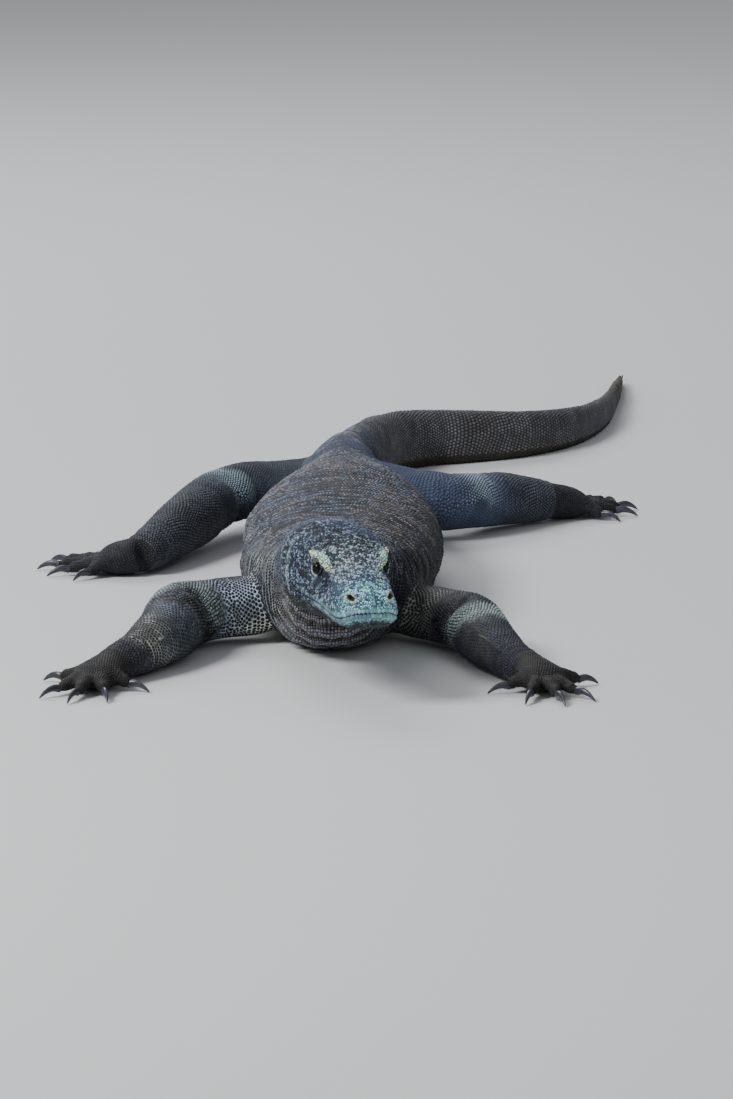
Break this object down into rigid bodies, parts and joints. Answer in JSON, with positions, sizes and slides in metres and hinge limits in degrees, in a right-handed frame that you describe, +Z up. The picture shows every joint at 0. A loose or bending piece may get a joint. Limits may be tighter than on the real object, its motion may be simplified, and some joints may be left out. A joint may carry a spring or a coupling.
{
  "type": "komodo dragon",
  "caption": "Komodo dragon at life size, still, lying on its belly with the head raised a little, the legs spread and the tail curved to its left.",
  "frame": {"origin": "on the floor under the middle of the trunk, at the middle of the belly's flat", "axes": "+Y from the head to the tail, so the snout points to -Y; +X to the animal's left; +Z up"},
  "size_m": [0.7609, 2.188, 0.1776],
  "materials": {
    "skin": "dry scaly hide, matt",
    "head_skin": "scaly hide, pale flecks on blue-black, matt",
    "horn": "worn claw horn, satin",
    "eye": "wet dark brown eye, polished"
  },
  "bodies": {
    "root": {"belly": "skin", "chest": "skin", "claw_foot_left_1": "horn", "claw_foot_left_2": "horn", "claw_foot_left_3": "horn", "claw_foot_left_4": "horn", "claw_foot_left_5": "horn", "claw_foot_right_1": "horn", "claw_foot_right_2": "horn", "claw_foot_right_3": "horn", "claw_foot_right_4": "horn", "claw_foot_right_5": "horn", "claw_hand_left_1": "horn", "claw_hand_left_2": "horn", "claw_hand_left_3": "horn", "claw_hand_left_4": "horn", "claw_hand_left_5": "horn", "claw_hand_right_1": "horn", "claw_hand_right_2": "horn", "claw_hand_right_3": "horn", "claw_hand_right_4": "horn", "claw_hand_right_5": "horn", "eye_left": "eye", "eye_right": "eye", "foot_left": "skin", "foot_right": "skin", "forearm_left": "skin", "forearm_right": "skin", "hand_left": "skin", "hand_right": "skin", "head": "head_skin", "lower_jaw": "head_skin", "neck": "skin", "pelvis": "skin", "shin_left": "skin", "shin_right": "skin", "tail_base": "skin", "tail_bend": "skin", "tail_middle": "skin", "tail_tip": "skin", "thigh_left": "skin", "thigh_right": "skin", "upper_arm_left": "skin", "upper_arm_right": "skin"}
  },
  "joints": []
}
